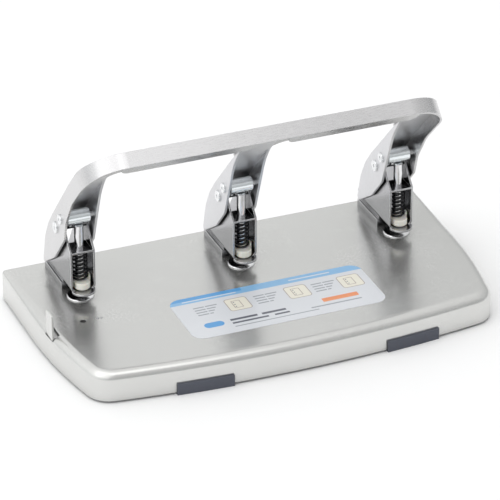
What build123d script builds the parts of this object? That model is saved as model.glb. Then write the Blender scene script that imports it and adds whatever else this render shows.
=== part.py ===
from build123d import *
import math
import os

os.makedirs("parts", exist_ok=True)

# Driving sizes in millimetres: the base pressing
hole_spacing = 107.95
base_w = 286.0
base_d = 154.6
base_top = 20.9
skirt_z = 1.5
sheet = 1.2
bend_r = 6.5
rear_bend_r = 2.4
back_bend_r = 1.8
side_curve_r = 340.0
front_rise = 10.5
corner_r = 16.0

# Driving sizes: the punch heads
frame_setback = 55.9
frame_w = 16.2
frame_len = 48.8
frame_sheet = 1.2
frame_corner_r = 3.5
throat = 6.5
window_h = 25.2
ear_r = 6.5
pin_back = 6.2
pin_d = 7.1
shank_d = 6.0
stop_back = 18.0
die_flange_d = 17.0
die_body_d = 11.0
die_flange_t = 1.0
die_depth = 4.4
seat_d = 11.6
seat_nose = 4.0
seat_h = 4.9
spring_od = 10.2
wire_d = 1.2
spring_turns = 6.5
clip_t = 1.0

# Driving sizes: the lever
pivot_back = 17.0
pivot_z = 66.0
lever_room = 1.3
lever_sheet = 1.5
lean = 44.4
bar_rise = 92.8
bar_w = 10.2
bar_set = 11.1
bar_corner_r = 25.7
front_flange = 10.0
rear_flange = 34.0
window_r = 12.0
roller_d = 9.4
roller_reach = 13.45
roller_angle = 132.0
axle_d = 4.0
pivot_d = 5.0
head_t = 1.2

# Driving sizes: the tray, guide, label and feet
tray_w = 24.0
tray_h = 11.0
tray_wall = 1.2
tray_front_t = 1.2
tab_in = 2.0
tab_t = 1.3
guide_travel = 10.5
guide_t = 1.5
guide_reach = 55.0
stud_in = 35.0
stud_apart = 2.6
peep_in = 25.8
tab_w = 10.5
tab_top = 35.0
label_w = 129.0
label_d = 50.0
label_t = 0.15
label_back = 47.5
foot_len = 36.0
foot_h = 7.7
foot_lip = 1.3
foot_room = 6.0
cover_t = 1.2
cover_z = 2.0
screw_d = 3.0
screw_head_d = 6.4
screw_head_t = 1.3
screw_len = 8.0
post_d = 8.0
post_in = 35.0
post_back = 17.0
post_front = 26.0
rear_foot_d = 16.0
rear_foot_in = 48.0
rear_foot_back = 12.0
rail_h = 6.0
rail_t = 1.0
rivet_d = 4.5
rivet_front = 25.0
rivet_rear = 42.0

# Clearances
run = 0.06
slide = 0.08
gap = 0.3
seat_gap = 0.05

# Places worked out from the sizes above
half_w = base_w / 2
back_y = base_d / 2
front_y = -base_d / 2
under = base_top - sheet
frame_y = back_y - frame_setback
frame_rear = frame_y + frame_len
frame_z = base_top + throat
floor_z = frame_z + frame_sheet
roof_z = floor_z + window_h
frame_top = roof_z + frame_sheet
pin_y = frame_y + pin_back
stop_y = frame_y + stop_back
pivot_y = frame_y + pivot_back
seat_top = floor_z + seat_h
roller_y = pivot_y + roller_reach * math.cos(math.radians(roller_angle))
roller_z = pivot_z + roller_reach * math.sin(math.radians(roller_angle))
pin_top = roller_z - roller_d / 2 - 0.1
clip_top = roof_z - 0.1
clip_z = clip_top - clip_t
wall_in = frame_w / 2 + lever_room
wall_out = wall_in + lever_sheet
lever_w = 2 * wall_out
shell_x = hole_spacing + wall_out
roller_len = 2 * wall_in - 3.8
heads = {"left": -hole_spacing, "middle": 0.0, "right": hole_spacing}
up_arm = (0, -math.sin(math.radians(lean)), math.cos(math.radians(lean)))
to_front = (0, -math.cos(math.radians(lean)), -math.sin(math.radians(lean)))
across = Plane(origin=(0, pivot_y, pivot_z), x_dir=(1, 0, 0), z_dir=to_front)
beside = Plane(origin=(0, pivot_y, pivot_z), x_dir=to_front, z_dir=(-1, 0, 0))
bar_back = -bar_set
bar_front = bar_back + bar_w
bar_under = bar_rise - lever_sheet
web_back = bar_back + lever_sheet + seat_gap
web_front = web_back + lever_sheet


def save(piece, name):
    piece.part.label = name
    export_step(piece.part, f"parts/{name}.step")


def rounded(points, radii):
    with BuildSketch() as outline:
        with BuildLine():
            Polyline(*points, close=True)
        make_face()
        for point, radius in zip(points, radii):
            if radius > 0:
                fillet(outline.vertices().sort_by_distance(point)[0], radius)
    return outline.sketch


# The base's plan: straight back and sides, sides drawn in to the front, a bowed front edge
def base_plan(inset):
    side_x = half_w - side_curve_r
    side_r = side_curve_r - inset
    corner_x = side_x + math.sqrt(side_curve_r**2 - (frame_y - front_y - front_rise) ** 2)
    bow_r = (corner_x**2 + front_rise**2) / (2 * front_rise)
    bow_y = front_y + bow_r
    apart = math.hypot(side_x, bow_y - frame_y)
    along = (side_r**2 - (bow_r - inset) ** 2 + apart**2) / (2 * apart)
    beyond = math.sqrt(side_r**2 - along**2)
    ux, uy = -side_x / apart, (bow_y - frame_y) / apart
    meet_x = side_x + along * ux + beyond * uy
    meet_y = frame_y + along * uy - beyond * ux
    half_turn = math.asin((frame_y - meet_y) / side_r) / 2
    mid_x = side_x + side_r * math.cos(half_turn)
    mid_y = frame_y - side_r * math.sin(half_turn)
    edge_x, edge_y = half_w - inset, back_y - inset
    with BuildSketch() as plan:
        with BuildLine():
            Line((-edge_x, edge_y), (-edge_x, frame_y))
            ThreePointArc((-edge_x, frame_y), (-mid_x, mid_y), (-meet_x, meet_y))
            ThreePointArc((-meet_x, meet_y), (0, front_y + inset), (meet_x, meet_y))
            ThreePointArc((meet_x, meet_y), (mid_x, mid_y), (edge_x, frame_y))
            Line((edge_x, frame_y), (edge_x, edge_y))
            Line((edge_x, edge_y), (-edge_x, edge_y))
        make_face()
        fillet(plan.vertices().sort_by(Axis.Y)[:2], corner_r - inset)
    return plan.sketch


# A pressed tray shape, upside down: its bend is wide round the front and tightens to the rear corners
def pressing(inset, low, high, bend, rear_bend, back_bend):
    with BuildPart() as block:
        with BuildSketch(Plane.XY.offset(low)):
            add(base_plan(inset))
        extrude(amount=high - low)
        rim = block.faces().sort_by(Axis.Z)[-1].edges().sort_by(Axis.Y)
        fillet(rim[:-1], bend)
        split(bisect_by=Plane.XZ.offset(-frame_y), keep=Keep.TOP)
        for y, radius in ((frame_y, bend), (back_y - inset, rear_bend)):
            with BuildSketch(Plane.XZ.offset(-y)) as section:
                with Locations((0, (low + high) / 2)):
                    Rectangle(base_w - 2 * inset, high - low)
                fillet(section.vertices().group_by(Axis.Y)[-1], radius)
        loft(ruled=True)
        back = block.faces().sort_by(Axis.Y)[-1].edges()
        fillet(back.filter_by(lambda e: e.center().Z > high - bend), back_bend)
    return block.part


# Base shell: the top plate and skirt, with the holes for dies, rivets, guide and tray
rivet_ys = [frame_y + rivet_front, frame_y + rivet_rear]
tray_y0 = pin_y - tray_w / 2
tray_y1 = pin_y + tray_w / 2
tray_z = cover_z + cover_t + 0.25
tray_front_w = tray_w + 5
tab_y = frame_y - 29.2
tab_x = tab_in - half_w
guide_top = under - 0.5
notch_x = tab_x + tab_t + 3.6
guide_low = guide_top - guide_t
stud_y = frame_y - 24.5
stud_xs = [stud_in - half_w, stud_in + stud_apart - half_w]
peep_x = peep_in - half_w
with BuildPart() as base_shell:
    add(pressing(0, skirt_z, base_top, bend_r, rear_bend_r, back_bend_r))
    inner_bends = (bend_r - sheet, rear_bend_r - sheet, back_bend_r - sheet)
    add(pressing(sheet, skirt_z - 1, under, *inner_bends), mode=Mode.SUBTRACT)
    for x in heads.values():
        with Locations((x, pin_y, base_top)):
            Cylinder(die_body_d / 2 + seat_gap, 6, mode=Mode.SUBTRACT)
        for y in rivet_ys:
            with Locations((x, y, base_top)):
                Cylinder(rivet_d / 2 + seat_gap, 6, mode=Mode.SUBTRACT)
    for x in stud_xs:
        with Locations((x, stud_y, base_top)):
            Cylinder(0.8 + seat_gap, 6, mode=Mode.SUBTRACT)
    with Locations((peep_x, stud_y, base_top)):
        Cylinder(2.1, 6, mode=Mode.SUBTRACT)
    with BuildSketch(Plane.XY.offset(guide_low - 0.8)):
        with Locations((notch_x - 5, tab_y)):
            Rectangle(10, tab_w + 4 * gap)
    extrude(amount=10, mode=Mode.SUBTRACT)
    with BuildSketch():
        with Locations((half_w, pin_y)):
            Rectangle(8, tray_front_w + 2 * gap)
    extrude(amount=tray_z + tray_h + 1 + gap, mode=Mode.SUBTRACT)
save(base_shell, "base_shell")

# Front feet: rubber channels pushed over the skirt's lower edge
foot_xs = {"left": -65.0, "right": 73.0}
for side, x in foot_xs.items():
    with BuildPart() as foot:
        with BuildSketch() as ring:
            add(base_plan(-foot_lip))
            add(base_plan(sheet + foot_lip), mode=Mode.SUBTRACT)
            with Locations((x, front_y)):
                Rectangle(foot_len, 60, mode=Mode.INTERSECT)
        extrude(amount=foot_h)
        with BuildSketch(Plane.XY.offset(skirt_z)):
            add(base_plan(0))
            add(base_plan(sheet), mode=Mode.SUBTRACT)
        extrude(amount=foot_h, mode=Mode.SUBTRACT)
    save(foot, f"front_foot_{side}")

# Bottom cover: a flat sheet inside the skirt, cut back round the front feet
rear_post = (hole_spacing + half_w) / 2
front_post = half_w - post_in
post_spots = [(x, back_y - post_back) for x in (-rear_post, rear_post)]
post_spots += [(x, front_y + post_front) for x in (-front_post, front_post)]
with BuildPart() as bottom_cover:
    with BuildSketch(Plane.XY.offset(cover_z)):
        add(base_plan(sheet + gap))
        for x in foot_xs.values():
            with Locations((x, front_y)):
                Rectangle(foot_len + 2 * gap, 2 * (sheet + foot_lip + foot_room), mode=Mode.SUBTRACT)
        with Locations(*post_spots):
            Circle(screw_d / 2 + 0.1, mode=Mode.SUBTRACT)
    extrude(amount=cover_t)
save(bottom_cover, "bottom_cover")

# Cover posts: four tubes spot-welded under the top plate, tapped for the cover's screws
with BuildPart() as cover_posts:
    with BuildSketch(Plane.XY.offset(cover_z + cover_t)):
        with Locations(*post_spots):
            Circle(post_d / 2)
            Circle(screw_d / 2 + seat_gap, mode=Mode.SUBTRACT)
    extrude(amount=under - cover_z - cover_t)
save(cover_posts, "cover_posts")

# Cover screws: low pan heads with a cross recess
with BuildPart() as cover_screws:
    with BuildSketch(Plane.XY.offset(cover_z - screw_head_t)):
        with Locations(*post_spots):
            Circle(screw_head_d / 2)
    extrude(amount=screw_head_t)
    fillet(cover_screws.edges().group_by(Axis.Z)[0], screw_head_t * 0.45)
    with BuildSketch(Plane.XY.offset(cover_z)):
        with Locations(*post_spots):
            Circle(screw_d / 2)
    extrude(amount=screw_len)
    with BuildSketch(Plane.XY.offset(cover_z - screw_head_t)):
        with Locations(*post_spots):
            Rectangle(screw_head_d / 2, screw_head_d / 9)
            Rectangle(screw_head_d / 9, screw_head_d / 2)
    extrude(amount=screw_head_t * 0.6, mode=Mode.SUBTRACT)
save(cover_screws, "cover_screws")

# Rear feet: two rubber pads stuck under the cover
with BuildPart() as rear_feet:
    with BuildSketch():
        with Locations(*[(side * (half_w - rear_foot_in), back_y - rear_foot_back) for side in (-1, 1)]):
            Circle(rear_foot_d / 2)
    extrude(amount=cover_z)
    chamfer(rear_feet.edges().group_by(Axis.Z)[0], cover_z / 4)
save(rear_feet, "rear_feet")

# Tray rails: two angle strips on the cover that guide the chip tray
rail_x0 = -hole_spacing - 12
rail_x1 = half_w - sheet - 4
with BuildPart() as tray_rails:
    for y, out in ((tray_y0 - gap, -1), (tray_y1 + gap, 1)):
        rail_points = [
            (y, 0),
            (y, rail_h),
            (y + out * rail_t, rail_h),
            (y + out * rail_t, rail_t),
            (y + out * rail_h, rail_t),
            (y + out * rail_h, 0),
        ]
        with BuildSketch(Plane.YZ.offset(rail_x0).shift_origin((rail_x0, 0, cover_z + cover_t))):
            with BuildLine():
                Polyline(*rail_points, close=True)
            make_face()
        extrude(amount=rail_x1 - rail_x0)
save(tray_rails, "tray_rails")

# Chip tray: a long drawer under the three dies, drawn out at the right-hand end
tray_x0 = -hole_spacing - 11
tray_x1 = half_w - tray_front_t
with BuildPart() as chip_tray:
    with BuildSketch(Plane.XY.offset(tray_z)):
        with Locations(((tray_x0 + tray_x1) / 2, pin_y)):
            Rectangle(tray_x1 - tray_x0, tray_w)
    extrude(amount=tray_h)
    with BuildSketch(Plane.XY.offset(tray_z + tray_wall)):
        with Locations(((tray_x0 + tray_x1) / 2, pin_y)):
            Rectangle(tray_x1 - tray_x0 - 2 * tray_wall, tray_w - 2 * tray_wall)
    extrude(amount=tray_h, mode=Mode.SUBTRACT)
    with BuildSketch(Plane.YZ.offset(tray_x1)):
        with Locations((pin_y, tray_z + tray_h / 2)):
            RectangleRounded(tray_front_w, tray_h + 2.0, 1.5)
    extrude(amount=tray_front_t)
save(chip_tray, "chip_tray")

# Label: a thin printed sheet on the top plate
with BuildPart() as label:
    with BuildSketch(Plane.XY.offset(base_top)):
        with Locations((2.6, frame_y - label_back)):
            RectangleRounded(label_w, label_d, 8)
    extrude(amount=label_t)
save(label, "label")

# Paper guide: a flat strip under the top plate with an upturned tab in a notch of the rolled edge
guide_x1 = guide_reach - half_w
neck_x = -half_w + bend_r + guide_travel + 2
with BuildPart() as paper_guide:
    with BuildSketch(Plane.XY.offset(guide_low)):
        with Locations(((tab_x + neck_x + 1) / 2, tab_y)):
            Rectangle(neck_x + 1 - tab_x, tab_w)
        with Locations(((neck_x + guide_x1) / 2, tab_y + 2)):
            Rectangle(guide_x1 - neck_x, tab_w + 4)
        with Locations(((stud_xs[0] - 2.0 + guide_x1 - 4) / 2, stud_y)):
            Rectangle(guide_x1 - 2.0 - stud_xs[0], 2.4, mode=Mode.SUBTRACT)
        with Locations((peep_x, stud_y)):
            Circle(2.1, mode=Mode.SUBTRACT)
    extrude(amount=guide_t)
    with BuildSketch(Plane.YZ.offset(tab_x)):
        with Locations((tab_y, (guide_low + tab_top) / 2)):
            Rectangle(tab_w, tab_top - guide_low)
    extrude(amount=tab_t)
    fillet(paper_guide.edges().filter_by(Axis.X).group_by(Axis.Z)[-1], 3)
save(paper_guide, "paper_guide")

# Guide clip: a shallow bridge under the strip, hung on two small studs through the top plate
with BuildPart() as guide_clip:
    clip_mid = (stud_xs[0] + stud_xs[1]) / 2
    bridge_low = guide_low - 0.25 - 1.0
    with BuildSketch(Plane.YZ.offset(clip_mid - 5)):
        with Locations((tab_y + 2, (bridge_low + under) / 2)):
            Rectangle(tab_w + 4 + 2 * gap + 2.4, under - bridge_low)
        with Locations((tab_y + 2, (guide_low - 0.25 + under) / 2)):
            Rectangle(tab_w + 4 + 2 * gap, under - guide_low + 0.25, mode=Mode.SUBTRACT)
    extrude(amount=10)
    with BuildSketch(Plane.XY.offset(bridge_low)):
        with Locations((stud_xs[0], stud_y), (stud_xs[1], stud_y)):
            Circle(0.8)
    extrude(amount=base_top + 0.2 - bridge_low)
save(guide_clip, "guide_clip")

# Frame rivets: two to a head, through frame, throat block and top plate
with BuildPart() as frame_rivets:
    rivet_spots = [(x, y) for x in heads.values() for y in rivet_ys]
    with BuildSketch(Plane.XY.offset(under)):
        with Locations(*rivet_spots):
            Circle(rivet_d / 2)
    extrude(amount=floor_z - under)
    with BuildSketch(Plane.XY.offset(floor_z)):
        with Locations(*rivet_spots):
            Circle(3.9)
    extrude(amount=1.4)
    with BuildSketch(Plane.XY.offset(under - 1.3)):
        with Locations(*rivet_spots):
            Circle(3.6)
    extrude(amount=1.3)
    fillet(frame_rivets.edges().group_by(Axis.Z)[-1], 0.8)
save(frame_rivets, "frame_rivets")

# The outline of a head frame seen from the side: square front, sloped shoulder, ear, sloped back
frame_side = [
    (frame_y, frame_z - 1),
    (frame_y, frame_top),
    (frame_y + 6.4, frame_top + 6.4),
    (pivot_y - 0.55 * ear_r, pivot_z + 0.83 * ear_r),
    (pivot_y, pivot_z),
    (pivot_y + ear_r, pivot_z),
    (frame_rear - 12.8, pivot_z - 12),
    (frame_rear - 2.8, frame_z + 10.6),
    (frame_rear, frame_z + 5.6),
    (frame_rear, frame_z - 1),
]
for side, x in heads.items():
    # Head frame: a bent strip with a round tongue, two tall walls and a roof that guides the pin
    with BuildPart() as frame:
        u_shape = [
            (x - frame_w / 2, frame_z),
            (x - frame_w / 2, pivot_z + 12),
            (x + frame_w / 2, pivot_z + 12),
            (x + frame_w / 2, frame_z),
        ]
        u_hollow = [
            (x - frame_w / 2 + frame_sheet, floor_z),
            (x - frame_w / 2 + frame_sheet, pivot_z + 13),
            (x + frame_w / 2 - frame_sheet, pivot_z + 13),
            (x + frame_w / 2 - frame_sheet, floor_z),
        ]
        front_plane = Plane.XZ.offset(-frame_y)
        inner_r = frame_corner_r - frame_sheet
        with BuildSketch(front_plane):
            add(rounded(u_shape, [frame_corner_r, 0, 0, frame_corner_r]))
            add(rounded(u_hollow, [inner_r, 0, 0, inner_r]), mode=Mode.SUBTRACT)
        extrude(amount=-frame_len)
        with BuildSketch(Plane.YZ.offset(x)):
            with BuildLine():
                Polyline(*frame_side, close=True)
            make_face()
            with Locations((pivot_y, pivot_z)):
                Circle(ear_r)
        extrude(amount=frame_w, both=True, mode=Mode.INTERSECT)
        with Locations((x, frame_y + 7, roof_z + frame_sheet / 2)):
            Box(frame_w - frame_sheet, 14, frame_sheet)
        with BuildSketch(Plane.XY.offset(frame_z)):
            with Locations((x, frame_y)):
                Circle(frame_w / 2 - 0.6)
            with Locations((x, frame_y + frame_w)):
                Rectangle(2 * frame_w, 2 * frame_w, mode=Mode.SUBTRACT)
            with Locations((x, frame_y)):
                Rectangle(frame_w - 2 * frame_corner_r, 2)
        extrude(amount=frame_sheet)
        with Locations((x, pin_y, frame_top)):
            Cylinder(shank_d / 2 + slide, 8, mode=Mode.SUBTRACT)
        with Locations((x, pin_y, frame_z)):
            Cylinder(pin_d / 2 + slide, 8, mode=Mode.SUBTRACT)
        for y in rivet_ys:
            with Locations((x, y, frame_z)):
                Cylinder(rivet_d / 2 + seat_gap, 6, mode=Mode.SUBTRACT)
        with Locations(Location((x, pivot_y, pivot_z), (0, 90, 0))):
            Cylinder(pivot_d / 2 + run, frame_w + 4, mode=Mode.SUBTRACT)
    save(frame, f"frame_{side}")

    # Throat block: carries the frame above the plate; its front face stops the paper's edge
    with BuildPart() as block:
        with BuildSketch(Plane.XY.offset(base_top)):
            with Locations((x, (stop_y + frame_rear) / 2)):
                Rectangle(frame_w + 0.6, frame_rear - stop_y)
        extrude(amount=throat - 1.6)
        with BuildSketch(Plane.XY.offset(base_top)):
            with Locations((x, (stop_y + frame_rear) / 2 + 0.4)):
                Rectangle(frame_w - 2.4, frame_rear - stop_y - 0.8)
        extrude(amount=throat)
        for y in rivet_ys:
            with Locations((x, y, frame_z)):
                Cylinder(rivet_d / 2 + seat_gap, 30, mode=Mode.SUBTRACT)
    save(block, f"throat_block_{side}")

    # Die: a hardened ring with a flange on the plate
    with BuildPart() as die:
        with BuildSketch(Plane.XY.offset(base_top)):
            with Locations((x, pin_y)):
                Circle(die_flange_d / 2)
        extrude(amount=die_flange_t)
        chamfer(die.edges().group_by(Axis.Z)[-1], 0.4)
        with BuildSketch(Plane.XY.offset(base_top - die_depth)):
            with Locations((x, pin_y)):
                Circle(die_body_d / 2)
        extrude(amount=die_depth)
        with Locations((x, pin_y, base_top)):
            Cylinder(pin_d / 2 + slide, 20, mode=Mode.SUBTRACT)
    save(die, f"die_{side}")

    # Spring seat: a moulded block on the frame's floor, drawn out to the front, a raised lug on its right
    with BuildPart() as seat:
        with BuildSketch(Plane.XY.offset(floor_z)):
            with Locations((x, pin_y)):
                Circle(seat_d / 2)
            with Locations((x, pin_y - seat_nose / 2)):
                Rectangle(seat_d - 1.6, seat_nose)
            with Locations((x, pin_y - seat_nose)):
                Circle(seat_d / 2 - 0.8)
        extrude(amount=seat_h)
        fillet(seat.edges().group_by(Axis.Z)[-1], 0.6)
        chamfer(seat.edges().group_by(Axis.Z)[0], 1.0)
        with BuildSketch(Plane.XY.offset(seat_top - 1.5)):
            with Locations((x, pin_y)):
                Circle(seat_d / 2 + 0.7)
                Circle(spring_od / 2 + 0.35, mode=Mode.SUBTRACT)
            with Locations((x + seat_d / 2, pin_y)):
                Rectangle(3.2, 4.6, mode=Mode.INTERSECT)
        extrude(amount=3.6)
        with Locations((x, pin_y, floor_z)):
            Cylinder(pin_d / 2 + gap, 20, mode=Mode.SUBTRACT)
    save(seat, f"spring_seat_{side}")

    # Punch pin: a stepped rod, hollow-ground across its cutting end, grooved for the clip
    pin_low = frame_z + 0.6
    with BuildPart() as pin:
        with BuildSketch(Plane.XY.offset(pin_low)):
            with Locations((x, pin_y)):
                Circle(pin_d / 2)
        extrude(amount=seat_top - 0.4 - pin_low)
        with BuildSketch(Plane.XY.offset(pin_low)):
            with Locations((x, pin_y)):
                Circle(shank_d / 2)
        extrude(amount=pin_top - pin_low)
        chamfer(pin.edges().group_by(Axis.Z)[-1], 0.5)
        with BuildSketch(Plane.XY.offset(clip_z - seat_gap)):
            with Locations((x, pin_y)):
                Circle(shank_d)
                Circle(shank_d / 2 - 0.4, mode=Mode.SUBTRACT)
        extrude(amount=clip_t + 2 * seat_gap, mode=Mode.SUBTRACT)
        with Locations(Location((x, pin_y, pin_low - 4.6), (90, 0, 0))):
            Cylinder(5.8, pin_d * 2, mode=Mode.SUBTRACT)
    save(pin, f"punch_pin_{side}")

    # Retaining clip: an open ring in the pin's groove, on which the spring pushes
    with BuildPart() as clip:
        with BuildSketch(Plane.XY.offset(clip_z)):
            with Locations((x, pin_y)):
                Circle(spring_od / 2 + 0.2)
                Circle(shank_d / 2 - 0.4 + seat_gap, mode=Mode.SUBTRACT)
            with Locations((x, pin_y + spring_od / 2)):
                Rectangle(3.4, spring_od, mode=Mode.SUBTRACT)
        extrude(amount=clip_t)
    save(clip, f"retaining_clip_{side}")

    # Return spring: one wire wound round the pin between the seat and the clip
    coil_r = (spring_od - wire_d) / 2
    coil_low = seat_top + wire_d / 2 + seat_gap
    coil_rise = clip_z - wire_d / 2 - seat_gap - coil_low
    quarters = round(spring_turns * 4)

    def coil_point(k):
        turn = k * math.pi / 2
        rise = coil_low + coil_rise * k / quarters
        return Vector(x + coil_r * math.cos(turn), pin_y + coil_r * math.sin(turn), rise)

    def coil_heading(k):
        turn = k * math.pi / 2
        climb = coil_rise / quarters / (math.pi / 2)
        return Vector(-coil_r * math.sin(turn), coil_r * math.cos(turn), climb).normalized()

    wire_points = []
    with BuildPart() as spring:
        with BuildLine() as wire:
            for k in range(quarters):
                p0, p1 = coil_point(k), coil_point(k + 1)
                t0, t1 = coil_heading(k), coil_heading(k + 1)
                v, t = p1 - p0, t0 + t1
                bend = 2 * (1 - t0.dot(t1))
                reach = (-v.dot(t) + math.sqrt(v.dot(t) ** 2 + bend * v.dot(v))) / bend
                joint = (p0 + p1 + (t0 - t1) * reach) * 0.5
                first = TangentArc(p0, joint, tangent=t0)
                second = TangentArc(joint, p1, tangent=first % 1)
                wire_points += [arc @ (step / 4) for arc in (first, second) for step in range(4)]
        with BuildSketch(Plane(origin=coil_point(0), z_dir=coil_heading(0))):
            Circle(wire_d / 2)
        sweep()
    save(spring, f"return_spring_{side}")

    # Roller: a plated tube on the lever's axle, with a seam along it
    with BuildPart() as roller:
        with BuildSketch(Plane.YZ.offset(x - roller_len / 2)):
            with Locations((roller_y, roller_z)):
                Circle(roller_d / 2)
                Circle(axle_d / 2 + run, mode=Mode.SUBTRACT)
            with Locations((roller_y, roller_z + roller_d / 2)):
                Rectangle(0.9, 1.0, mode=Mode.SUBTRACT)
        extrude(amount=roller_len)
        chamfer(roller.edges().filter_by(GeomType.CIRCLE).group_by(SortBy.RADIUS)[-1], 0.4)
    save(roller, f"roller_{side}")

    # Roller axle and pivot pin: rods across the lever, headed over outside its walls
    for name, rod_d, y, z in (
        ("roller_axle", axle_d, roller_y, roller_z),
        ("pivot_pin", pivot_d, pivot_y, pivot_z),
    ):
        with BuildPart() as rod:
            with BuildSketch(Plane.YZ.offset(x - wall_out)):
                with Locations((y, z)):
                    Circle(rod_d / 2)
            extrude(amount=lever_w)
            for plane, out in (
                (Plane.YZ.offset(x - wall_out), -head_t),
                (Plane.YZ.offset(x + wall_out), head_t),
            ):
                with BuildSketch(plane):
                    with Locations((y, z)):
                        Circle(rod_d / 2 + 1.3)
                extrude(amount=out)
            fillet(rod.edges().group_by(Axis.X)[0], 0.5)
            fillet(rod.edges().group_by(Axis.X)[-1], 0.5)
            for end in (-1, 1):
                with Locations(Location((x + end * (wall_out + head_t), y, z), (0, 90, 0))):
                    Cylinder(1.1, 1.0, mode=Mode.SUBTRACT)
        save(rod, f"{name}_{side}")

# Pivot washers: spacers between each frame ear and the lever's wall
washer_t = lever_room - gap
with BuildPart() as pivot_washers:
    for x in heads.values():
        for end in (-1, 1):
            mid = x + end * (wall_in + frame_w / 2) / 2
            with BuildSketch(Plane.YZ.offset(mid - washer_t / 2)):
                with Locations((pivot_y, pivot_z)):
                    Circle(pivot_d / 2 + 2.2)
                    Circle(pivot_d / 2 + run, mode=Mode.SUBTRACT)
            extrude(amount=washer_t)
save(pivot_washers, "pivot_washers")


# A cheek's outline seen from the side, below the bar: back edge, heel and lower front edge
heel = [(-8.9, 0), (-7.7, -14), (-3.6, -28), (5.5, -43.5), (8.0, -44.6), (13.1, -21)]
heel_radii = [60, 30, 25, 2, 1.2, 5]

# Handle shell: one strip bent over both end arms, with the bar's front and rear flanges
arch = [(-shell_x, -60), (-shell_x, bar_rise), (shell_x, bar_rise), (shell_x, -60)]
in_x = shell_x - lever_sheet
in_r = bar_corner_r - lever_sheet
hollow = [(-in_x, -61), (-in_x, bar_under), (in_x, bar_under), (in_x, -61)]
window_w = hole_spacing - lever_w
with BuildPart() as handle_shell:
    with BuildSketch(across):
        add(rounded(arch, [0, bar_corner_r, bar_corner_r, 0]))
        add(rounded(hollow, [0, in_r, in_r, 0]), mode=Mode.SUBTRACT)
    extrude(amount=60, both=True)
    outer_front = [(11.7, 8), (5.0, 20), (0.4, 42), (0.4, bar_rise - 20), (bar_front, bar_rise - 4)]
    outer_top = [(bar_front, bar_rise + 5), (bar_back, bar_rise + 5), (bar_back, 50)]
    with BuildSketch(beside):
        add(rounded(heel + outer_front + outer_top, heel_radii + [8, 20, 40, 20, 20, 0, 0, 60]))
    extrude(amount=shell_x + 5, both=True, mode=Mode.INTERSECT)
    with BuildSketch(across.offset(bar_front - lever_sheet)):
        for mid in (-hole_spacing / 2, hole_spacing / 2):
            x0, x1 = mid - window_w / 2, mid + window_w / 2
            a0, a1 = bar_rise - front_flange, bar_rise - lever_sheet / 2
            flange = [(x0, a1), (x1, a1), (x1, a0), (x0, a0)]
            add(rounded(flange, [0, 0, 0.6 * front_flange, 0.6 * front_flange]))
    extrude(amount=lever_sheet)
    with BuildSketch(across.offset(bar_back)):
        add(rounded(arch, [0, bar_corner_r, bar_corner_r, 0]))
        with Locations((0, bar_rise - (rear_flange + window_r) / 2)):
            Rectangle(2 * shell_x, rear_flange + window_r, mode=Mode.INTERSECT)
        for mid in (-hole_spacing / 2, hole_spacing / 2):
            with Locations((mid, bar_rise - rear_flange - 2 * window_r)):
                RectangleRounded(window_w, 4 * window_r, window_r, mode=Mode.SUBTRACT)
    extrude(amount=lever_sheet)
    for y, z, d in ((roller_y, roller_z, axle_d), (pivot_y, pivot_z, pivot_d)):
        with Locations(Location((0, y, z), (0, 90, 0))):
            Cylinder(d / 2 + seat_gap, 2 * shell_x + 10, mode=Mode.SUBTRACT)
save(handle_shell, "handle_shell")

# Arm channels: the rear web of each arm, against the bar's rear flange, and its inner cheeks
web_top = bar_under - seat_gap
inner_front = [(12.2, 1), (-5.3, 40), (web_front, 54)]
inner_top = [(web_front, web_top), (web_back, web_top), (web_back, 40)]
web_rear = [(web_back, web_top), (web_back, 40), heel[0], heel[1]]
web_side = web_rear + [(b + lever_sheet, a) for b, a in reversed(web_rear)]
for side, x, walls in (
    ("left", -hole_spacing, (1,)),
    ("middle", 0.0, (-1, 1)),
    ("right", hole_spacing, (-1,)),
):
    x0 = x - (wall_out if -1 in walls else wall_in - seat_gap)
    x1 = x + (wall_out if 1 in walls else wall_in - seat_gap)
    with BuildPart() as arm:
        with BuildSketch(beside.offset(-x1)):
            with BuildLine():
                Polyline(*web_side, close=True)
            make_face()
        extrude(amount=x1 - x0)
        for out in walls:
            with BuildSketch(beside.offset(-x - out * (wall_in + wall_out) / 2)):
                add(rounded(heel + inner_front + inner_top, heel_radii + [8, 60, 20, 0, 0, 60]))
            extrude(amount=lever_sheet / 2, both=True)
        with BuildSketch(across):
            add(rounded(hollow, [0, in_r, in_r, 0]))
            offset(amount=-2 * seat_gap, mode=Mode.REPLACE)
        extrude(amount=60, both=True, mode=Mode.INTERSECT)
        for y, z, d in ((roller_y, roller_z, axle_d), (pivot_y, pivot_z, pivot_d)):
            with Locations(Location((x, y, z), (0, 90, 0))):
                Cylinder(d / 2 + seat_gap, 2 * lever_w, mode=Mode.SUBTRACT)
    save(arm, f"arm_channel_{side}")

# The least room between turns of a spring, between points more than half a turn apart
half_turn = 16
turn_gap = min(
    (p - q).length
    for i, p in enumerate(wire_points)
    for q in wire_points[i + half_turn + 1:]
) - wire_d
print("least gap between spring turns", round(turn_gap, 3))
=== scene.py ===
import math

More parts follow.
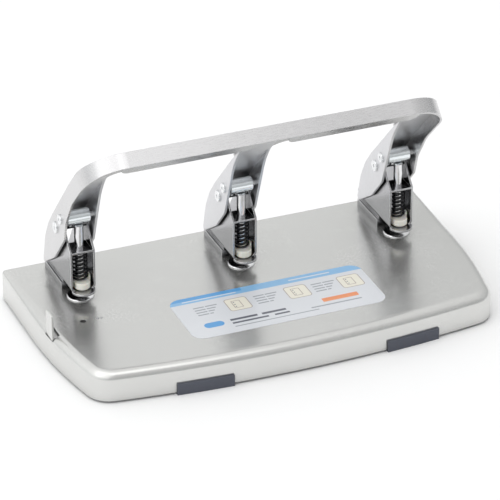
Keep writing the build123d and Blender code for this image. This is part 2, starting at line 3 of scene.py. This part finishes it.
import bmesh
import bpy
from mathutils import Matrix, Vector


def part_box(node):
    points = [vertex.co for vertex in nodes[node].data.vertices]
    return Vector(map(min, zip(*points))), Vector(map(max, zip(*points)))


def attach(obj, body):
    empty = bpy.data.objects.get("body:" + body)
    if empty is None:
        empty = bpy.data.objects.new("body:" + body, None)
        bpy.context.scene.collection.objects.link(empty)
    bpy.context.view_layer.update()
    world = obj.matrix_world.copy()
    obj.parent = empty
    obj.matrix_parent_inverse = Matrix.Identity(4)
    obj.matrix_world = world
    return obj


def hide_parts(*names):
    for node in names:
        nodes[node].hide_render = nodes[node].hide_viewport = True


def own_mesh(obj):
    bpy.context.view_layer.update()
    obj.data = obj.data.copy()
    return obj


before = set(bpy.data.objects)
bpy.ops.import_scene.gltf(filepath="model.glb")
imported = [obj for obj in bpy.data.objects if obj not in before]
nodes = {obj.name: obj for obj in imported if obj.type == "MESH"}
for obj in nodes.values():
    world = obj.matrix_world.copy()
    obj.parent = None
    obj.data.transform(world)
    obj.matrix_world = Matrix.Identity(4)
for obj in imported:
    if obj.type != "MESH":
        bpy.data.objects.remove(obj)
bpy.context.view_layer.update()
scene = bpy.context.scene

# Studio: the punch stands alone on a plain white sweep. The camera looks down on it
# from the front left through a long lens, as in the photograph. Places are in metres.
CAMERA_PLACE = (-0.6767, -1.6263, 1.0202)
LOOK_DOWN = math.radians(28.983)
TURN_RIGHT = math.radians(22.432)
camera_data = bpy.data.cameras.new("studio_camera")
camera_data.lens = 233.0
camera_data.sensor_width = 36.0
camera_data.clip_end = 50.0
camera = bpy.data.objects.new("studio_camera", camera_data)
camera.location = CAMERA_PLACE
camera.rotation_euler = (math.pi / 2 - LOOK_DOWN, 0.0, -TURN_RIGHT)
scene.collection.objects.link(camera)
scene.camera = camera
scene.view_settings.view_transform = "Standard"


def add_node(tree, kind, label="", **values):
    node = tree.nodes.new(kind)
    node.label = label
    for key, value in values.items():
        setattr(node, key, value)
    return node


def feed(tree, source, target):
    if isinstance(source, bpy.types.NodeSocket):
        tree.links.new(source, target)
    else:
        target.default_value = source


def math_node(tree, operation, *terms):
    node = add_node(tree, "ShaderNodeMath", operation=operation)
    for term, socket in zip(terms, node.inputs):
        feed(tree, term, socket)
    return node.outputs["Value"]


def map_range(tree, label, source, span, result=(0.0, 1.0)):
    node = add_node(tree, "ShaderNodeMapRange", label)
    feed(tree, source, node.inputs["Value"])
    for name, value in zip(("From Min", "From Max", "To Min", "To Max"), (*span, *result)):
        node.inputs[name].default_value = value
    return node.outputs["Result"]


def mix_colour(tree, label, factor, first, second, blend="MIX"):
    node = add_node(tree, "ShaderNodeMix", label, data_type="RGBA", blend_type=blend)
    feed(tree, factor, node.inputs["Factor"])
    feed(tree, first, node.inputs["A"])
    feed(tree, second, node.inputs["B"])
    return node.outputs["Result"]


world = bpy.data.worlds.new("studio_world")
scene.world = world
world.use_nodes = True
sky = world.node_tree
sky.nodes.clear()
sky_out = add_node(sky, "ShaderNodeOutputWorld")
sky_light = add_node(sky, "ShaderNodeBackground")
sky_light.inputs["Strength"].default_value = 1.1
sky_place = add_node(sky, "ShaderNodeTexCoord")
sky_split = add_node(sky, "ShaderNodeSeparateXYZ")
feed(sky, sky_place.outputs["Generated"], sky_split.inputs["Vector"])
sky_x, sky_y, sky_z = (sky_split.outputs[axis] for axis in "XYZ")
sky_height = add_node(sky, "ShaderNodeValToRGB", "brighter overhead")
horizon, zenith = sky_height.color_ramp.elements
horizon.position = 0.0
horizon.color = (0.62, 0.63, 0.64, 1)
zenith.position = 0.85
zenith.color = (1.0, 1.0, 1.0, 1)
midway = sky_height.color_ramp.elements.new(0.35)
midway.color = (0.86, 0.87, 0.87, 1)
feed(sky, sky_z, sky_height.inputs["Fac"])
sky_front = map_range(sky, "darker room behind the camera", sky_y, (-0.95, -0.35), (0.60, 1.0))
sky_back = map_range(sky, "dimmer wall behind the punch", sky_y, (0.45, 0.85), (1.0, 0.86))
sky_side = map_range(sky, "window side at the left", sky_x, (-0.8, 0.8), (1.22, 0.66))
sky_shade = math_node(sky, "MULTIPLY", math_node(sky, "MULTIPLY", sky_front, sky_side), sky_back)
sky_colour = mix_colour(sky, "shaded sky", 1.0, sky_height.outputs["Color"], sky_shade, "MULTIPLY")
feed(sky, sky_colour, sky_light.inputs["Color"])
feed(sky, sky_light.outputs["Background"], sky_out.inputs["Surface"])

# place, size in metres, watts
LAMPS = {
    "key_softbox": ((-0.9, -0.6, 1.3), 2.0, 5.0),
    "top_softbox": ((0.2, 0.5, 1.7), 2.0, 5.0),
    "front_softbox": ((0.05, -0.55, 1.05), 0.5, 0.42),
    "back_softbox": ((0.16, 0.88, 0.55), 0.6, 0.16),
}
LAMP_TARGET = Vector((0, 0, 0.03))
for name, (place, width, watts) in LAMPS.items():
    lamp_data = bpy.data.lights.new(name, "AREA")
    lamp_data.size = width
    lamp_data.energy = watts
    lamp = bpy.data.objects.new(name, lamp_data)
    lamp.location = place
    lamp.rotation_euler = (LAMP_TARGET - Vector(place)).to_track_quat("-Z", "Y").to_euler()
    lamp.visible_glossy = name != "top_softbox"
    scene.collection.objects.link(lamp)

FLOOR_REACH = 8.0
floor_mesh = bpy.data.meshes.new("studio_floor")
floor_mesh.from_pydata(
    [(x * FLOOR_REACH, y * FLOOR_REACH, 0) for x, y in ((-1, -1), (1, -1), (1, 1), (-1, 1))],
    [],
    [(0, 1, 2, 3)],
)
floor = bpy.data.objects.new("studio_floor", floor_mesh)
scene.collection.objects.link(floor)
floor_paint = bpy.data.materials.new("studio_white")
floor_paint.use_nodes = True
floor_shader = floor_paint.node_tree.nodes["Principled BSDF"]
floor_shader.inputs["Base Color"].default_value = (0.93, 0.93, 0.93, 1)
floor_shader.inputs["Roughness"].default_value = 0.9
floor_mesh.materials.append(floor_paint)

# Base: one steel sheet, drawn into a shallow tray and sprayed with silver metallic paint.
# The paint has fine bright flakes and a faint waviness; its edges are painted lighter, partly as worn
# paint and partly as a painted highlight, and its recesses carry painted shade.
EVEN_GRAIN = (1.0, 1.0, 1.0)
GRAIN_SHARE = 0.6
CLOUD_SHARE = 0.4
NOISE_SPAN = (0.3, 0.7)
RELIEF_DEPTH = 0.00002
RECESS_REACH = 0.018


def group_socket(group, name, way, kind="NodeSocketFloat", value=None):
    socket = group.interface.new_socket(name=name, in_out=way, socket_type=kind)
    if value is not None:
        socket.default_value = value


def make_grain():
    group = bpy.data.node_groups.new("surface_grain", "ShaderNodeTree")
    group_socket(group, "Stretch", "INPUT", "NodeSocketVector", EVEN_GRAIN)
    group_socket(group, "Grains per metre", "INPUT", value=900.0)
    group_socket(group, "Shade", "OUTPUT")
    group_socket(group, "Cloud", "OUTPUT")
    inlet = add_node(group, "NodeGroupInput")
    outlet = add_node(group, "NodeGroupOutput")
    place = add_node(group, "ShaderNodeTexCoord")
    stretched = add_node(group, "ShaderNodeVectorMath", operation="MULTIPLY")
    feed(group, place.outputs["Object"], stretched.inputs[0])
    feed(group, inlet.outputs["Stretch"], stretched.inputs[1])
    fine = add_node(group, "ShaderNodeTexNoise", "fine grain")
    fine.inputs["Detail"].default_value = 4.0
    feed(group, stretched.outputs["Vector"], fine.inputs["Vector"])
    feed(group, inlet.outputs["Grains per metre"], fine.inputs["Scale"])
    cloud = add_node(group, "ShaderNodeTexNoise", "broad clouds")
    cloud.inputs["Scale"].default_value = 28.0
    cloud.inputs["Detail"].default_value = 3.0
    feed(group, place.outputs["Object"], cloud.inputs["Vector"])
    feed(group, fine.outputs["Fac"], outlet.inputs["Shade"])
    feed(group, cloud.outputs["Fac"], outlet.inputs["Cloud"])
    return group


# Edge mask from a bevelled normal: it places a painted highlight along edges, partly standing for
# rubbed wear, and rounds the shading normal.
def make_edge_wear_and_highlight():
    group = bpy.data.node_groups.new("edge_wear_and_highlight", "ShaderNodeTree")
    group_socket(group, "Edge radius", "INPUT", value=0.0003)
    group_socket(group, "Edge", "OUTPUT")
    group_socket(group, "Normal", "OUTPUT", "NodeSocketVector")
    inlet = add_node(group, "NodeGroupInput")
    outlet = add_node(group, "NodeGroupOutput")
    rounded = add_node(group, "ShaderNodeBevel", "rounded edge", samples=6)
    surface = add_node(group, "ShaderNodeNewGeometry")
    turned = add_node(group, "ShaderNodeVectorMath", operation="DOT_PRODUCT")
    feed(group, inlet.outputs["Edge radius"], rounded.inputs["Radius"])
    feed(group, rounded.outputs["Normal"], turned.inputs[0])
    feed(group, surface.outputs["Normal"], turned.inputs[1])
    edge = map_range(group, "turned away from the face", turned.outputs["Value"], (0.99, 0.75))
    feed(group, edge, outlet.inputs["Edge"])
    feed(group, rounded.outputs["Normal"], outlet.inputs["Normal"])
    return group


# Painted shade: ambient occlusion darkens the colour in recesses, under parts and between them.
def make_painted_recess_shade():
    group = bpy.data.node_groups.new("painted_recess_shade", "ShaderNodeTree")
    group_socket(group, "Shade strength", "INPUT", value=0.3)
    group_socket(group, "Shade factor", "OUTPUT")
    inlet = add_node(group, "NodeGroupInput")
    outlet = add_node(group, "NodeGroupOutput")
    hidden = add_node(group, "ShaderNodeAmbientOcclusion", "recesses", samples=6)
    hidden.inputs["Distance"].default_value = RECESS_REACH
    open_share = map_range(group, "open to the light", hidden.outputs["AO"], (0.15, 0.6))
    left = math_node(group, "SUBTRACT", 1.0, open_share)
    shade_depth = math_node(group, "MULTIPLY", left, inlet.outputs["Shade strength"])
    feed(group, math_node(group, "SUBTRACT", 1.0, shade_depth), outlet.inputs["Shade factor"])
    return group


grain_group = make_grain()
edge_group = make_edge_wear_and_highlight()
recess_group = make_painted_recess_shade()


# The last argument sets the strength of the painted shade in recesses; the edge radius before it sets
# the rounded shading and the width of the painted edge highlight.
def make_finish(
    name, dark, light, edge, rough, metallic, grains, bump, stretch=EVEN_GRAIN, edge_round=0.0003, recess_shade=0.3
):
    material = bpy.data.materials.new(name)
    material.use_nodes = True
    tree = material.node_tree
    shader = tree.nodes["Principled BSDF"]
    shader.inputs["Metallic"].default_value = metallic
    grain = add_node(tree, "ShaderNodeGroup", "grain", node_tree=grain_group)
    grain.inputs["Stretch"].default_value = stretch
    grain.inputs["Grains per metre"].default_value = grains
    wear_and_highlight = add_node(tree, "ShaderNodeGroup", "edge wear and painted highlight", node_tree=edge_group)
    wear_and_highlight.inputs["Edge radius"].default_value = edge_round
    recess = add_node(tree, "ShaderNodeGroup", "painted recess shade", node_tree=recess_group)
    recess.inputs["Shade strength"].default_value = recess_shade
    fine = math_node(tree, "MULTIPLY", grain.outputs["Shade"], GRAIN_SHARE)
    broad = math_node(tree, "MULTIPLY", grain.outputs["Cloud"], CLOUD_SHARE)
    mottle = math_node(tree, "ADD", fine, broad)
    shade = map_range(tree, "grain and clouds", mottle, NOISE_SPAN)
    colour = mix_colour(tree, "body colour", shade, (*dark, 1), (*light, 1))
    # Painted shade: the colour is darkened where the occlusion finds recesses.
    recess_shaded = mix_colour(tree, "shaded recesses", 1.0, colour, recess.outputs["Shade factor"], "MULTIPLY")
    # Painted highlight, partly edge wear: edges are mixed toward a bright colour.
    edged = mix_colour(tree, "painted edge highlight and wear", wear_and_highlight.outputs["Edge"], recess_shaded, (*edge, 1))
    gloss = map_range(tree, "roughness", mottle, NOISE_SPAN, rough)
    relief = add_node(tree, "ShaderNodeBump", "surface relief")
    relief.inputs["Strength"].default_value = bump
    relief.inputs["Distance"].default_value = RELIEF_DEPTH
    feed(tree, grain.outputs["Shade"], relief.inputs["Height"])
    feed(tree, wear_and_highlight.outputs["Normal"], relief.inputs["Normal"])
    feed(tree, edged, shader.inputs["Base Color"])
    feed(tree, gloss, shader.inputs["Roughness"])
    feed(tree, relief.outputs["Normal"], shader.inputs["Normal"])
    return material


def finish_nodes(material, *names):
    for name in names:
        mesh = nodes[name].data
        mesh.materials.clear()
        mesh.materials.append(material)


silver_paint = make_finish(
    "silver_paint",
    dark=(0.67, 0.67, 0.655),
    light=(0.73, 0.73, 0.715),
    edge=(0.86, 0.86, 0.85),
    rough=(0.21, 0.29),
    metallic=0.85,
    grains=2600.0,
    bump=0.12,
    edge_round=0.0004,
    # strong painted shade in recesses and where parts stand close to the plate
    recess_shade=0.75,
)
lacquer = silver_paint.node_tree.nodes["Principled BSDF"].inputs
lacquer["Coat Weight"].default_value = 0.15
lacquer["Coat Roughness"].default_value = 0.18
finish_nodes(silver_paint, "base_shell", "paper_guide")

# Rubber feet: black-blue moulded rubber, two channels on the skirt's front edge and two pads
# under the cover, matt with a fine moulded skin.
foot_rubber = make_finish(
    "foot_rubber",
    dark=(0.062, 0.068, 0.088),
    light=(0.095, 0.103, 0.130),
    edge=(0.14, 0.15, 0.18),
    rough=(0.55, 0.72),
    metallic=0.0,
    grains=1800.0,
    bump=0.35,
    edge_round=0.0006,
)
finish_nodes(foot_rubber, "front_foot_left", "front_foot_right", "rear_feet")

# Underside: a zinc-plated cover sheet on four posts, its screws, the tray's rails and the
# guide's clip, all plain plated steel with the cloudy look of zinc.
zinc_plate = make_finish(
    "zinc_plate",
    dark=(0.52, 0.53, 0.55),
    light=(0.68, 0.69, 0.70),
    edge=(0.80, 0.80, 0.80),
    rough=(0.24, 0.40),
    metallic=1.0,
    grains=700.0,
    bump=0.1,
)
finish_nodes(zinc_plate, "bottom_cover", "cover_posts", "cover_screws", "tray_rails", "guide_clip")

# Chip tray: a long drawer moulded in dark grey plastic with a spark-eroded texture.
# It slides on its rails, and its front closes the opening in the base's right skirt.
tray_plastic = make_finish(
    "tray_plastic",
    dark=(0.055, 0.057, 0.060),
    light=(0.075, 0.077, 0.080),
    edge=(0.11, 0.11, 0.115),
    rough=(0.45, 0.60),
    metallic=0.0,
    grains=3000.0,
    bump=0.4,
)
finish_nodes(tray_plastic, "chip_tray")

# Label: a glossy printed film stuck on the plate, pale grey with a blue band along its rear
# edge, plain pictograms, rows of bars in place of words, and two small blocks of colour.
MM = 0.001
INK_BLUR = 0.0001


def make_ink_patch():
    group = bpy.data.node_groups.new("ink_patch", "ShaderNodeTree")
    group_socket(group, "Centre", "INPUT", "NodeSocketVector")
    group_socket(group, "Half size", "INPUT", "NodeSocketVector")
    group_socket(group, "Corner", "INPUT")
    group_socket(group, "Line", "INPUT", value=0.0)
    group_socket(group, "Ink", "OUTPUT")
    inlet = add_node(group, "NodeGroupInput")
    outlet = add_node(group, "NodeGroupOutput")
    place = add_node(group, "ShaderNodeTexCoord")
    offset = add_node(group, "ShaderNodeVectorMath", operation="SUBTRACT")
    size = add_node(group, "ShaderNodeVectorMath", operation="ABSOLUTE")
    feed(group, place.outputs["Object"], offset.inputs[0])
    feed(group, inlet.outputs["Centre"], offset.inputs[1])
    feed(group, offset.outputs["Vector"], size.inputs[0])
    here = add_node(group, "ShaderNodeSeparateXYZ")
    half = add_node(group, "ShaderNodeSeparateXYZ")
    feed(group, size.outputs["Vector"], here.inputs["Vector"])
    feed(group, inlet.outputs["Half size"], half.inputs["Vector"])
    corner = inlet.outputs["Corner"]
    line = inlet.outputs["Line"]
    past = []
    for axis in ("X", "Y"):
        beyond = math_node(group, "SUBTRACT", here.outputs[axis], half.outputs[axis])
        past.append(math_node(group, "ADD", beyond, corner))
    outside = [math_node(group, "MAXIMUM", value, 0.0) for value in past]
    squares = [math_node(group, "MULTIPLY", value, value) for value in outside]
    reach = math_node(group, "SQRT", math_node(group, "ADD", *squares))
    inside = math_node(group, "MINIMUM", math_node(group, "MAXIMUM", *past), 0.0)
    distance = math_node(group, "SUBTRACT", math_node(group, "ADD", reach, inside), corner)
    ring = math_node(group, "SUBTRACT", math_node(group, "ABSOLUTE", distance), line)
    chosen = add_node(group, "ShaderNodeMix", "filled or outlined")
    feed(group, math_node(group, "GREATER_THAN", line, 0.0), chosen.inputs["Factor"])
    feed(group, distance, chosen.inputs["A"])
    feed(group, ring, chosen.inputs["B"])
    ink = map_range(group, "soft edge", chosen.outputs["Result"], (INK_BLUR, -INK_BLUR))
    feed(group, ink, outlet.inputs["Ink"])
    return group


ink_group = make_ink_patch()
INKS = {
    "blue": (0.10, 0.36, 0.72),
    "sky": (0.25, 0.50, 0.78),
    "pale": (0.72, 0.76, 0.82),
    "cream": (0.86, 0.83, 0.72),
    "outline": (0.36, 0.29, 0.27),
    "grey": (0.34, 0.36, 0.40),
    "orange": (0.86, 0.30, 0.12),
    "dark": (0.12, 0.13, 0.16),
}
PICTOGRAM_XS = (-24, 16, 52)
PICTOGRAM_Y = 6.5
TEXT_XS = (-44, -4, 35)
TEXT_TOP = 11.0
TEXT_PITCH = 3.0
TEXT_ROWS = 4
# ink, centre x and y, half width and height, corner, line width, all in millimetres
PRINT = [
    ("sky", 0, 21.5, 64.5, 3.5, 0, 0),
    ("blue", -40, 23.2, 24.5, 1.8, 0, 0),
    ("pale", -38, 20.4, 18, 0.5, 0.4, 0),
    ("pale", 30, 21.4, 14, 0.55, 0.4, 0),
]
for x in PICTOGRAM_XS:
    PRINT += [
        ("cream", x, PICTOGRAM_Y, 7.2, 7.2, 2.0, 0),
        ("outline", x, PICTOGRAM_Y, 7.2, 7.2, 2.0, 0.22),
        ("outline", x - 0.6, PICTOGRAM_Y, 2.7, 4.2, 0.4, 0.2),
    ]
    PRINT += [("dark", x - 2.1, PICTOGRAM_Y + y, 0.45, 0.45, 0.45, 0) for y in (-2.6, 0, 2.6)]
for x in TEXT_XS:
    for row in range(TEXT_ROWS):
        y = TEXT_TOP - TEXT_PITCH * row
        shorter = 0.9 * row
        PRINT += [
            ("grey", x - 4.6, y, 3.6, 0.55, 0.3, 0),
            ("grey", x + 3.6 - shorter, y, 3.9 - shorter, 0.55, 0.3, 0),
        ]
PRINT += [
    ("orange", 38, -9.5, 12, 2.2, 0.6, 0),
    ("blue", -47, -11.5, 6.5, 3.0, 3.0, 0),
    ("dark", -27, -10.4, 9, 1.1, 0.3, 0),
    ("dark", -7, -10.4, 8, 1.1, 0.3, 0),
    ("dark", -24, -14.4, 12, 0.9, 0.3, 0),
    ("dark", -3, -14.4, 5, 0.9, 0.3, 0),
    ("grey", 33, -15.5, 17, 0.6, 0.3, 0),
    ("grey", -8, -18.6, 28, 0.45, 0.3, 0),
]
film = bpy.data.materials.new("printed_film")
film.use_nodes = True
film_tree = film.node_tree
film_shader = film_tree.nodes["Principled BSDF"]
film_shader.inputs["IOR"].default_value = 1.5
film_shader.inputs["Coat Weight"].default_value = 0.4
film_shader.inputs["Coat Roughness"].default_value = 0.12
film_grain = add_node(film_tree, "ShaderNodeGroup", "paper grain", node_tree=grain_group)
film_grain.inputs["Grains per metre"].default_value = 1500.0
printed = mix_colour(
    film_tree,
    "film colour",
    film_grain.outputs["Cloud"],
    (0.68, 0.70, 0.74, 1),
    (0.76, 0.78, 0.81, 1),
)
label_low, label_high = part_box("label")
label_mid = (label_low + label_high) / 2
for ink, x, y, half_x, half_y, corner, line in PRINT:
    patch = add_node(film_tree, "ShaderNodeGroup", ink, node_tree=ink_group)
    patch.inputs["Centre"].default_value = (label_mid.x + x * MM, label_mid.y + y * MM, 0)
    patch.inputs["Half size"].default_value = (half_x * MM, half_y * MM, 0)
    patch.inputs["Corner"].default_value = corner * MM
    patch.inputs["Line"].default_value = line * MM
    printed = mix_colour(film_tree, ink, patch.outputs["Ink"], printed, (*INKS[ink], 1))
film_gloss = map_range(film_tree, "film gloss", film_grain.outputs["Shade"], (0.0, 1.0), (0.28, 0.40))
feed(film_tree, printed, film_shader.inputs["Base Color"])
feed(film_tree, film_gloss, film_shader.inputs["Roughness"])
finish_nodes(film, "label")

# Punch heads: folded steel frames with their throat blocks, riveted to the plate and plated
# in satin nickel, rolled lengthwise so the sheet keeps a faint vertical grain.
SIDES = ("left", "middle", "right")
ROLLED_UPRIGHT = (1.0, 1.0, 0.12)


def on_each_head(*pieces):
    return [f"{piece}_{side}" for piece in pieces for side in SIDES]


frame_nickel = make_finish(
    "frame_nickel",
    dark=(0.40, 0.40, 0.415),
    light=(0.50, 0.50, 0.515),
    edge=(0.95, 0.95, 0.95),
    rough=(0.16, 0.26),
    metallic=1.0,
    stretch=ROLLED_UPRIGHT,
    grains=2200.0,
    bump=0.15,
    edge_round=0.0006,
    # strongest painted shade, darkening the insides of the frames
    recess_shade=0.85,
)
finish_nodes(frame_nickel, *on_each_head("frame", "throat_block"))
finish_nodes(zinc_plate, "frame_rivets")

# Dies and pins: hardened steel, ground round and polished, the pins brightest.
# The dies are pressed into the plate, and the pins slide in the frames above them.
ground_steel = make_finish(
    "ground_steel",
    dark=(0.76, 0.76, 0.77),
    light=(0.90, 0.90, 0.91),
    edge=(0.97, 0.97, 0.97),
    rough=(0.08, 0.15),
    metallic=1.0,
    stretch=(0.15, 0.15, 1.0),
    grains=5000.0,
    bump=0.1,
    recess_shade=0.0,
)
finish_nodes(ground_steel, *on_each_head("die", "punch_pin"))

# Spring seats: small cups moulded in cream nylon, with a lug that keeps the spring centred.
# Each lies loose on its frame's floor, held down by the spring.
cream_nylon = make_finish(
    "cream_nylon",
    dark=(0.88, 0.86, 0.76),
    light=(0.95, 0.93, 0.86),
    edge=(0.98, 0.97, 0.92),
    rough=(0.38, 0.50),
    metallic=0.0,
    grains=1500.0,
    bump=0.15,
    recess_shade=0.0,
)
nylon_depth = cream_nylon.node_tree.nodes["Principled BSDF"].inputs
nylon_depth["Subsurface Weight"].default_value = 0.25
nylon_depth["Subsurface Radius"].default_value = (0.002, 0.0016, 0.001)
finish_nodes(cream_nylon, *on_each_head("spring_seat"))

# Return springs: black music wire wound round the pins, with closed and ground end turns.
# Each shortens between its seat and the clip as the pin goes down.
SPRING_TURNS = 7.5
END_TURNS = 0.9
STEPS_PER_TURN = 32
WIRE_SIDES = 12
WIRE_R = 0.6 * MM
CLOSED_PITCH = 2.1 * WIRE_R
black_steel = make_finish(
    "black_spring_steel",
    dark=(0.010, 0.010, 0.012),
    light=(0.022, 0.022, 0.025),
    edge=(0.05, 0.05, 0.055),
    rough=(0.22, 0.36),
    metallic=0.3,
    grains=2500.0,
    bump=0.1,
)
finish_nodes(black_steel, *on_each_head("retaining_clip"))


def wire_height(turns, bottom, top):
    closed_rise = CLOSED_PITCH * END_TURNS
    if turns < END_TURNS:
        return bottom + CLOSED_PITCH * turns
    if turns > SPRING_TURNS - END_TURNS:
        return top - CLOSED_PITCH * (SPRING_TURNS - turns)
    share = (turns - END_TURNS) / (SPRING_TURNS - 2 * END_TURNS)
    return bottom + closed_rise + (top - bottom - 2 * closed_rise) * share


def wind_spring(name, low, high):
    mid = (low + high) / 2
    coil_r = (high.x - low.x) / 2 - WIRE_R
    coil = bmesh.new()
    rings = []
    for step in range(round(SPRING_TURNS * STEPS_PER_TURN) + 1):
        turns = step / STEPS_PER_TURN
        angle = 2 * math.pi * turns
        outward = Vector((math.cos(angle), math.sin(angle), 0))
        height = wire_height(turns, low.z + WIRE_R, high.z - WIRE_R)
        centre = Vector((mid.x, mid.y, height)) + outward * coil_r
        ring = []
        for corner in range(WIRE_SIDES):
            around = 2 * math.pi * corner / WIRE_SIDES
            point = centre + outward * (WIRE_R * math.cos(around))
            ground = min(max(point.z + WIRE_R * math.sin(around), low.z), high.z)
            ring.append(coil.verts.new((point.x, point.y, ground)))
        rings.append(ring)
    for ring, after in zip(rings, rings[1:]):
        for corner in range(WIRE_SIDES):
            beyond = (corner + 1) % WIRE_SIDES
            coil.faces.new((ring[corner], ring[beyond], after[beyond], after[corner]))
    coil.faces.new(rings[0][::-1])
    coil.faces.new(rings[-1])
    bmesh.ops.recalc_face_normals(coil, faces=coil.faces)
    mesh = bpy.data.meshes.new(name)
    coil.to_mesh(mesh)
    coil.free()
    mesh.shade_smooth()
    return mesh


for side in SIDES:
    low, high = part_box(f"return_spring_{side}")
    spring_mesh = wind_spring(f"coil_spring_{side}", low, high)
    spring_mesh.materials.append(black_steel)
    spring = bpy.data.objects.new(f"coil_spring_{side}", spring_mesh)
    scene.collection.objects.link(spring)
    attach(spring, "base")
    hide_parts(f"return_spring_{side}")
    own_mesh(spring)

# Handle: one pressing in satin nickel with a brushed bar, three folded arms inside its legs.
# It turns on the lower rivets, and its upper rivets carry the rollers.
brushed_nickel = make_finish(
    "brushed_nickel",
    dark=(0.60, 0.595, 0.60),
    light=(0.74, 0.735, 0.74),
    edge=(0.95, 0.95, 0.95),
    rough=(0.22, 0.34),
    metallic=1.0,
    stretch=(0.08, 1.0, 1.0),
    grains=2400.0,
    bump=0.25,
    edge_round=0.0004,
)
finish_nodes(brushed_nickel, "handle_shell")
satin_nickel = make_finish(
    "satin_nickel",
    dark=(0.66, 0.66, 0.675),
    light=(0.76, 0.76, 0.775),
    edge=(0.95, 0.95, 0.95),
    rough=(0.30, 0.42),
    metallic=1.0,
    stretch=ROLLED_UPRIGHT,
    grains=2200.0,
    bump=0.15,
    # light painted shade inside the arms
    recess_shade=0.25,
)
finish_nodes(satin_nickel, *on_each_head("arm_channel"))
finish_nodes(zinc_plate, "pivot_washers")
bright_zinc = make_finish(
    "bright_zinc",
    dark=(0.78, 0.79, 0.80),
    light=(0.90, 0.91, 0.92),
    edge=(0.98, 0.98, 0.98),
    rough=(0.07, 0.14),
    metallic=1.0,
    grains=900.0,
    bump=0.1,
)
finish_nodes(bright_zinc, *on_each_head("pivot_pin", "roller_axle"))

# Rollers: rolled steel tubes with a butted seam, plated in blue-white zinc.
# Each turns on its axle between the lever's cheeks and presses on the pin below it.
blue_zinc = make_finish(
    "blue_zinc",
    dark=(0.88, 0.94, 0.97),
    light=(0.95, 0.98, 0.99),
    edge=(0.99, 0.99, 0.99),
    rough=(0.14, 0.22),
    metallic=0.85,
    stretch=(0.2, 1.0, 1.0),
    grains=1800.0,
    bump=0.15,
    recess_shade=0.0,
)
finish_nodes(blue_zinc, *on_each_head("roller"))
